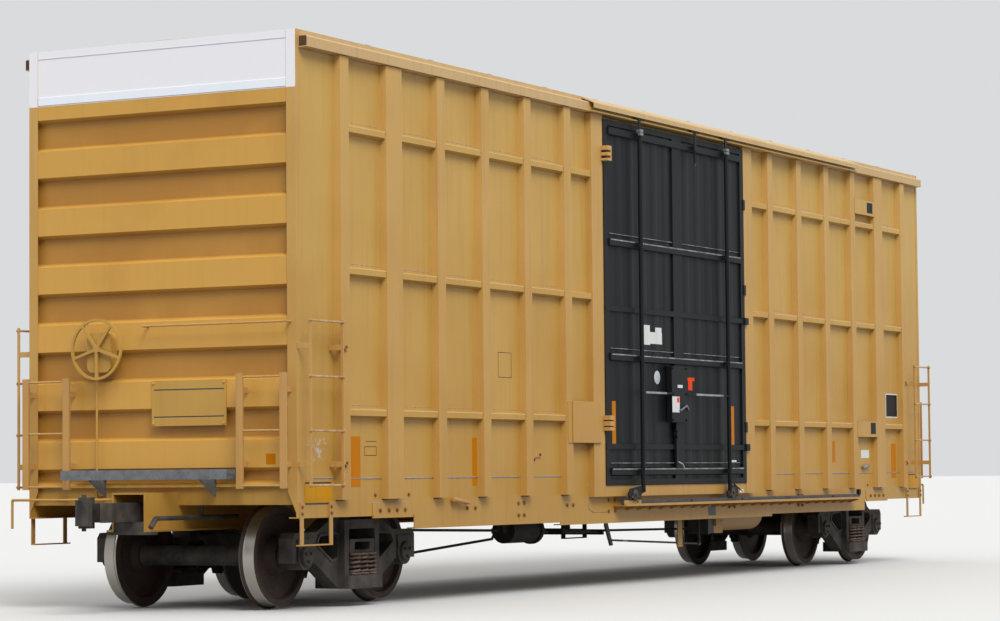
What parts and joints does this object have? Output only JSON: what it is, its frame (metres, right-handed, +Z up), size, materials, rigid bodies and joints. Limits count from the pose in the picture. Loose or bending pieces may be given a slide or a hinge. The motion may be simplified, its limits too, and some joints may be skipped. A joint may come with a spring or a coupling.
{
  "type": "plug-door railroad boxcar",
  "caption": "High-cube freight boxcar with outside posts, sliding plug doors, corrugated ends, ladders, swing couplers and two swivelling trucks on rolling wheelsets.",
  "frame": {"origin": "centre of the car in plan, at the lowest point of the wheel flanges", "axes": "+X along the car towards the B end, +Y to its left, +Z up"},
  "size_m": [17.948, 3.244, 5.2272],
  "materials": {
    "body_paint": "satin yellow enamel, weathered",
    "door_paint": "satin black enamel, dusty",
    "galvanised": "galvanised",
    "running_gear": "cast steel with brake dust",
    "spring_steel": "bare spring steel, light rust",
    "wheel_steel": "rusty plate, bright tread"
  },
  "bodies": {
    "car_body": {"centre_sill": "body_paint", "body_bolsters": "body_paint", "cross_members": "body_paint", "floor": "body_paint", "end_sills": "body_paint", "side_sills": "body_paint", "side_sheets": "body_paint", "side_posts": "body_paint", "corner_posts": "body_paint", "end_wall_a": "body_paint", "end_wall_b": "body_paint", "top_chords": "body_paint", "door_hoods": "body_paint", "roof": "galvanised", "door_frames": "body_paint", "door_left": "door_paint", "door_right": "door_paint", "door_gear_left": "door_paint", "door_gear_right": "door_paint", "door_tracks": "body_paint", "side_ladders": "body_paint", "end_ladders": "body_paint", "end_grab_irons": "body_paint", "sill_steps": "body_paint", "crossover_platforms": "galvanised", "draft_gears": "running_gear", "coupler_carriers": "running_gear", "uncoupling_levers": "body_paint", "air_reservoir": "body_paint", "control_valve": "body_paint", "brake_rigging": "running_gear", "hand_brake": "body_paint", "brake_pipes": "running_gear", "side_boards": "body_paint", "door_stops": "body_paint", "end_boards": "body_paint", "upper_tracks": "body_paint", "hand_lever": "body_paint"},
    "truck_a": {"side_frames_a": "running_gear", "bolster_a": "running_gear", "springs_a": "spring_steel", "bearings_a": "running_gear", "brake_beams_a": "running_gear"},
    "truck_b": {"side_frames_b": "running_gear", "bolster_b": "running_gear", "springs_b": "spring_steel", "bearings_b": "running_gear", "brake_beams_b": "running_gear"},
    "wheelset_1": {"axle_1": "running_gear", "wheels_1": "wheel_steel"},
    "wheelset_2": {"axle_2": "running_gear", "wheels_2": "wheel_steel"},
    "wheelset_3": {"axle_3": "running_gear", "wheels_3": "wheel_steel"},
    "wheelset_4": {"axle_4": "running_gear", "wheels_4": "wheel_steel"},
    "coupler_swing_a": {"coupler_a": "running_gear", "knuckle_a": "running_gear"},
    "coupler_swing_b": {"coupler_b": "running_gear", "knuckle_b": "running_gear"}
  },
  "joints": [
    {"name": "truck_swivel_a", "type": "hinge", "parent": "car_body", "child": "truck_a", "pos_m": [-6.223, 0, 0.68], "axis": [0, 0, 1], "range_deg": [-8, 8]},
    {"name": "truck_swivel_b", "type": "hinge", "parent": "car_body", "child": "truck_b", "pos_m": [6.223, 0, 0.68], "axis": [0, 0, 1], "range_deg": [-8, 8]},
    {"name": "wheelset_spin_1", "type": "hinge", "parent": "truck_a", "child": "wheelset_1", "pos_m": [-7.112, 0, 0.4826], "axis": [0, 1, 0], "continuous": true},
    {"name": "wheelset_spin_2", "type": "hinge", "parent": "truck_a", "child": "wheelset_2", "pos_m": [-5.334, 0, 0.4826], "axis": [0, 1, 0], "continuous": true},
    {"name": "wheelset_spin_3", "type": "hinge", "parent": "truck_b", "child": "wheelset_3", "pos_m": [5.334, 0, 0.4826], "axis": [0, 1, 0], "continuous": true},
    {"name": "wheelset_spin_4", "type": "hinge", "parent": "truck_b", "child": "wheelset_4", "pos_m": [7.112, 0, 0.4826], "axis": [0, 1, 0], "continuous": true},
    {"name": "coupler_swing_a", "type": "hinge", "parent": "car_body", "child": "coupler_swing_a", "pos_m": [-7.74, 0, 0.9017], "axis": [0, 0, 1], "range_deg": [-7, 7]},
    {"name": "coupler_swing_b", "type": "hinge", "parent": "car_body", "child": "coupler_swing_b", "pos_m": [7.74, 0, 0.9017], "axis": [0, 0, 1], "range_deg": [-7, 7]}
  ]
}
